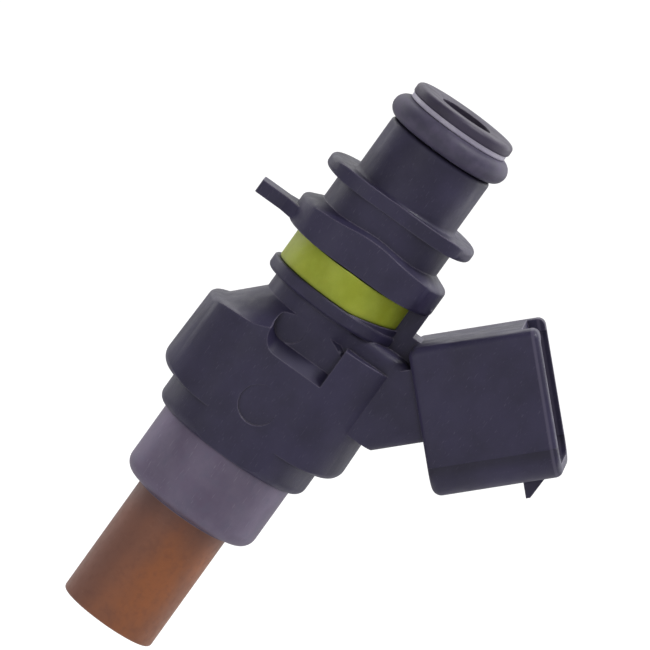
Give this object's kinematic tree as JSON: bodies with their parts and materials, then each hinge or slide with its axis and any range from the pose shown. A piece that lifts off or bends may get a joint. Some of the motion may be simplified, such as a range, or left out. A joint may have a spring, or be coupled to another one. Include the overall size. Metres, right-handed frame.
{
  "type": "port fuel injector",
  "caption": "Top-feed port fuel injector: O-ring rail end, clip flanges with tab, angled two-blade connector, steel coil housing and long nozzle sleeve.",
  "frame": {"origin": "centre of the nozzle sleeve's end face", "axes": "+Z along the injector from the nozzle to the fuel inlet; the electric connector leans out towards +X at 45 degrees, and the anti-rotation tab points to -X; +Y completes the frame"},
  "size_m": [0.043, 0.0162, 0.065],
  "materials": {
    "black_resin": "fine satin moulded glass-filled nylon",
    "lime_resin": "satin moulded",
    "seal_rubber": "smooth",
    "pale_resin": "smooth",
    "collar_resin": "satin",
    "housing_steel": "satin turned, dull",
    "sleeve_brown": "satin",
    "stainless": "turned",
    "soft_iron": "turned",
    "filter_resin": "moulded",
    "filter_wire": "woven",
    "bobbin_resin": "moulded",
    "copper_wire": "enamelled",
    "tinned_brass": "tinned"
  },
  "bodies": {
    "injector": {"body_overmould": "black_resin", "id_band": "lime_resin", "upper_o_ring": "seal_rubber", "backup_ring": "pale_resin", "o_ring_retainer": "collar_resin", "inlet_tube": "stainless", "inlet_filter_frame": "filter_resin", "filter_mesh": "filter_wire", "yoke_housing": "housing_steel", "pole_core": "soft_iron", "spring_adjuster": "stainless", "nonmagnetic_ring": "stainless", "upper_pole_plate": "soft_iron", "coil_bobbin": "bobbin_resin", "coil_winding": "copper_wire", "bobbin_seal": "seal_rubber", "terminal_pins": "tinned_brass", "nozzle_sleeve": "sleeve_brown", "valve_body": "stainless", "valve_seat": "stainless", "needle_stop": "stainless", "orifice_plate": "stainless", "return_spring": "stainless"},
    "valve": {"armature": "soft_iron", "valve_needle": "stainless", "valve_ball": "stainless"}
  },
  "joints": [
    {"name": "valve_lift", "type": "slide", "parent": "injector", "child": "valve", "axis": [0, 0, 1], "range_m": [0, 0.00008], "deforming": ["return_spring"]}
  ]
}
